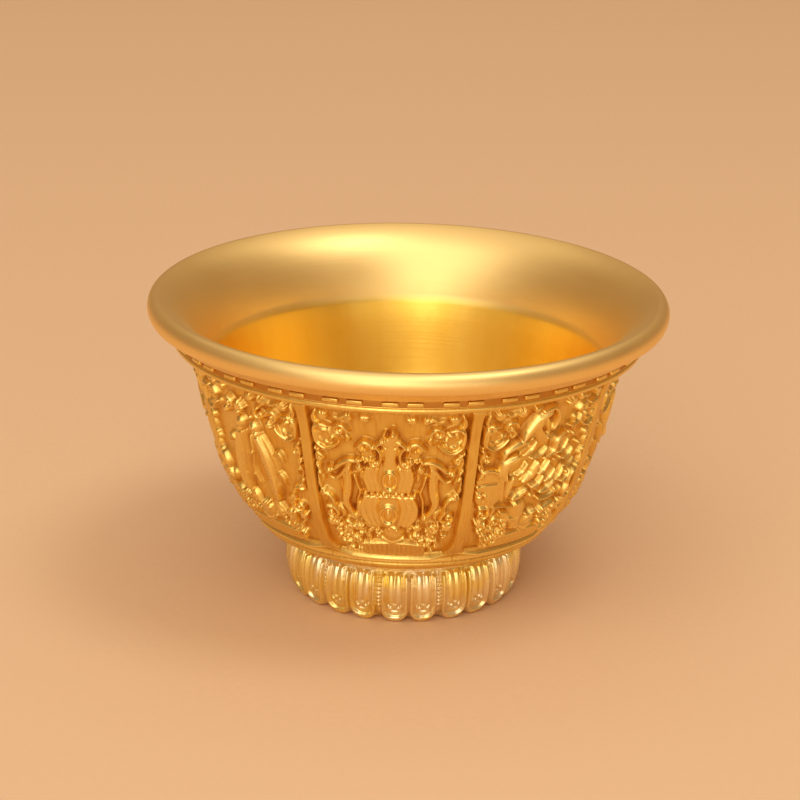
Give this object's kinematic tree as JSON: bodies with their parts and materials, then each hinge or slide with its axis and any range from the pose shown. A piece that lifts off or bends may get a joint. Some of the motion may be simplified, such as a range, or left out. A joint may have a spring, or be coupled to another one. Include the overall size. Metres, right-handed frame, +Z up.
{
  "type": "offering bowl",
  "caption": "Gold offering bowl with a smooth flared cup, relief plaques of the auspicious signs and a lotus-petal foot.",
  "frame": {"origin": "centre of the foot's resting ring on the table", "axes": "+Z up along the bowl's axis, -Y towards the picture's viewer"},
  "size_m": [0.085, 0.085, 0.0506],
  "materials": {
    "turned_gold": "satin, turned and lightly brushed",
    "chased_gold": "polished relief with darker recesses"
  },
  "bodies": {
    "root": {"inner_cup": "turned_gold", "upper_band": "chased_gold", "lower_moulding": "chased_gold", "lotus_foot": "chased_gold", "panel_vase": "chased_gold", "panel_conch": "chased_gold", "panel_parasol": "chased_gold", "panel_fish": "chased_gold", "panel_lotus": "chased_gold", "panel_knot": "chased_gold", "panel_wheel": "chased_gold", "panel_banner": "chased_gold", "rib_1": "chased_gold", "rib_2": "chased_gold", "rib_3": "chased_gold", "rib_4": "chased_gold", "rib_5": "chased_gold", "rib_6": "chased_gold", "rib_7": "chased_gold", "rib_8": "chased_gold"}
  },
  "joints": []
}
